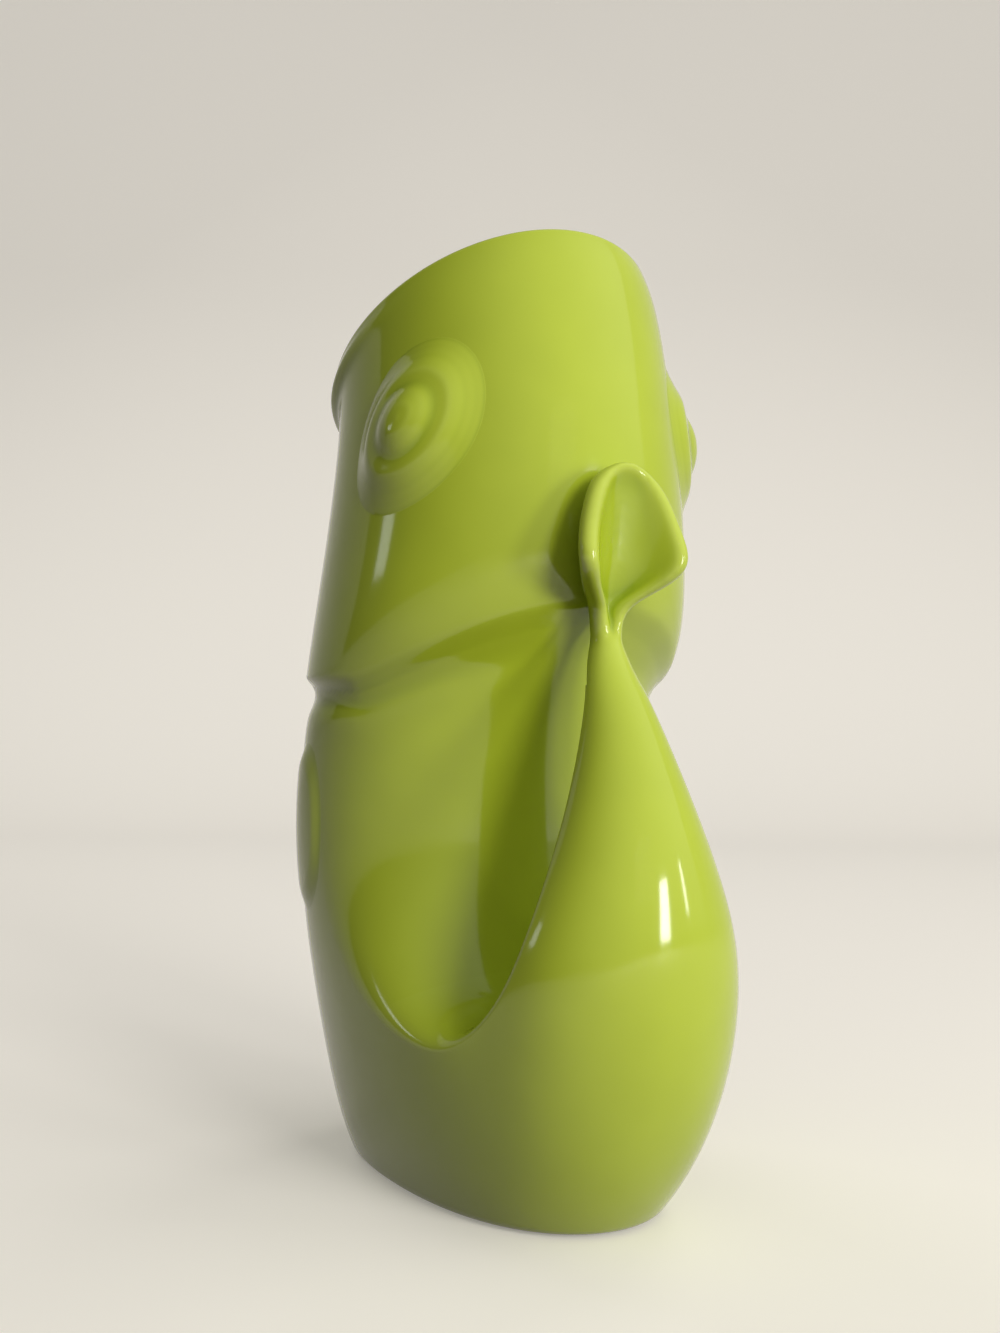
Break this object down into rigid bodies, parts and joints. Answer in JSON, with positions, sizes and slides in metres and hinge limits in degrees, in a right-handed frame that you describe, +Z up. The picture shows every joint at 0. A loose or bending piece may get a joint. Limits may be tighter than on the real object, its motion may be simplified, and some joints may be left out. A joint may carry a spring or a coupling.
{
  "type": "fish-shaped gurgle jug",
  "caption": "Hollow glazed ceramic jug shaped as an upright fish: its open mouth pours, and its hollow tail curls up behind as a loop handle and traps air that gurgles.",
  "frame": {"origin": "on the table, under the middle of the jug's length and width", "axes": "+X forward to the spout, +Y to the fish's left, +Z up from the table to the mouth"},
  "size_m": [0.144, 0.1048, 0.2505],
  "materials": {
    "glaze": "glossy lime-green glaze",
    "bare_clay": "matte bare fired clay"
  },
  "bodies": {
    "root": {"head_casting": "glaze", "body_casting": "glaze", "base_casting": "glaze", "tail_handle": "glaze", "tail_fin": "glaze", "left_eye": "glaze", "right_eye": "glaze", "left_side_fin": "glaze", "right_side_fin": "glaze", "foot_ring": "bare_clay"}
  },
  "joints": []
}
